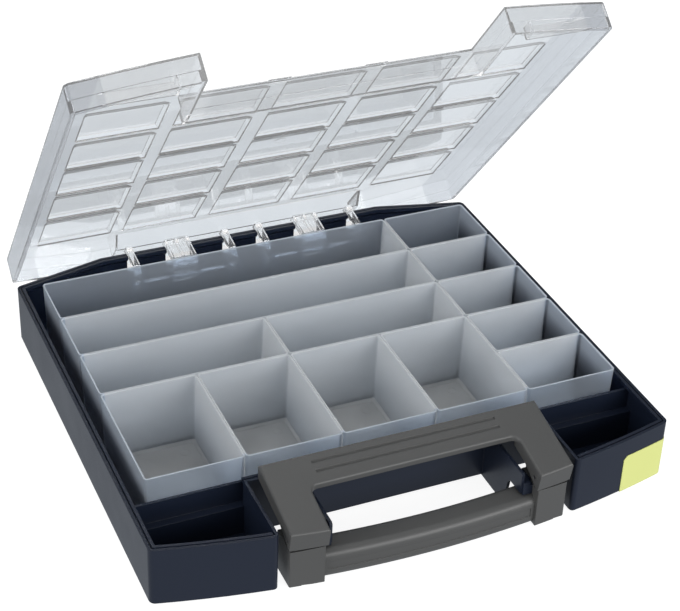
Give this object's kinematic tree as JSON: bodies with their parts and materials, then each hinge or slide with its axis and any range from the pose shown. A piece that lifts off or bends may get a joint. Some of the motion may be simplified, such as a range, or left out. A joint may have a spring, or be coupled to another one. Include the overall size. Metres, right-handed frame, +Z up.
{
  "type": "compartment organizer box",
  "caption": "Flat carry case with a dark bottom, a clear hinged lid shown half open, loose smoky bins in a grid, a bowed front grip with a folding latch yoke and a yellow corner tag.",
  "frame": {"origin": "middle of the flat underside of the case, under the middle of the bin field", "axes": "+X to the right seen from the grip, +Y from the grip to the hinge, +Z up"},
  "size_m": [0.4214, 0.4296, 0.3469],
  "materials": {
    "case_navy": "fine satin moulded plastic",
    "lid_clear": "clear gloss moulded plastic",
    "handle_grey": "satin moulded plastic",
    "bin_smoke": "translucent smoky moulded plastic",
    "tag_yellow": "matt moulded plastic",
    "pin_steel": "plain drawn steel"
  },
  "bodies": {
    "case": {"base_shell": "case_navy", "handle_grip": "handle_grey", "corner_tag": "tag_yellow", "hinge_pin_left": "pin_steel", "hinge_pin_right": "pin_steel", "yoke_pin_left": "pin_steel", "yoke_pin_right": "pin_steel"},
    "lid": {"lid": "lid_clear"},
    "yoke": {"latch_yoke": "handle_grey"},
    "tray_long_1": {"tray_long_1": "bin_smoke"},
    "tray_long_2": {"tray_long_2": "bin_smoke"},
    "tray_half_1": {"tray_half_1": "bin_smoke"},
    "tray_half_2": {"tray_half_2": "bin_smoke"},
    "bin_front_1": {"bin_front_1": "bin_smoke"},
    "bin_front_2": {"bin_front_2": "bin_smoke"},
    "bin_front_3": {"bin_front_3": "bin_smoke"},
    "bin_front_4": {"bin_front_4": "bin_smoke"},
    "bin_side_1": {"bin_side_1": "bin_smoke"},
    "bin_side_2": {"bin_side_2": "bin_smoke"},
    "bin_side_3": {"bin_side_3": "bin_smoke"},
    "bin_side_4": {"bin_side_4": "bin_smoke"},
    "bin_side_5": {"bin_side_5": "bin_smoke"}
  },
  "joints": [
    {"name": "lid_hinge", "type": "hinge", "parent": "case", "child": "lid", "pos_m": [0, 0.1654, 0.0297], "axis": [-1, 0, 0], "range_deg": [-50.2, 44.8]},
    {"name": "yoke_hinge", "type": "hinge", "parent": "case", "child": "yoke", "pos_m": [0, -0.211, 0.044], "axis": [1, 0, 0], "range_deg": [0, 75]},
    {"name": "tray_long_1_lift", "type": "slide", "parent": "case", "child": "tray_long_1", "axis": [0, 0, 1], "range_m": [0, 0.05]},
    {"name": "tray_long_2_lift", "type": "slide", "parent": "case", "child": "tray_long_2", "axis": [0, 0, 1], "range_m": [0, 0.05]},
    {"name": "tray_half_1_lift", "type": "slide", "parent": "case", "child": "tray_half_1", "axis": [0, 0, 1], "range_m": [0, 0.05]},
    {"name": "tray_half_2_lift", "type": "slide", "parent": "case", "child": "tray_half_2", "axis": [0, 0, 1], "range_m": [0, 0.05]},
    {"name": "bin_front_1_lift", "type": "slide", "parent": "case", "child": "bin_front_1", "axis": [0, 0, 1], "range_m": [0, 0.05]},
    {"name": "bin_front_2_lift", "type": "slide", "parent": "case", "child": "bin_front_2", "axis": [0, 0, 1], "range_m": [0, 0.05]},
    {"name": "bin_front_3_lift", "type": "slide", "parent": "case", "child": "bin_front_3", "axis": [0, 0, 1], "range_m": [0, 0.05]},
    {"name": "bin_front_4_lift", "type": "slide", "parent": "case", "child": "bin_front_4", "axis": [0, 0, 1], "range_m": [0, 0.05]},
    {"name": "bin_side_1_lift", "type": "slide", "parent": "case", "child": "bin_side_1", "axis": [0, 0, 1], "range_m": [0, 0.05]},
    {"name": "bin_side_2_lift", "type": "slide", "parent": "case", "child": "bin_side_2", "axis": [0, 0, 1], "range_m": [0, 0.05]},
    {"name": "bin_side_3_lift", "type": "slide", "parent": "case", "child": "bin_side_3", "axis": [0, 0, 1], "range_m": [0, 0.05]},
    {"name": "bin_side_4_lift", "type": "slide", "parent": "case", "child": "bin_side_4", "axis": [0, 0, 1], "range_m": [0, 0.05]},
    {"name": "bin_side_5_lift", "type": "slide", "parent": "case", "child": "bin_side_5", "axis": [0, 0, 1], "range_m": [0, 0.05]}
  ]
}
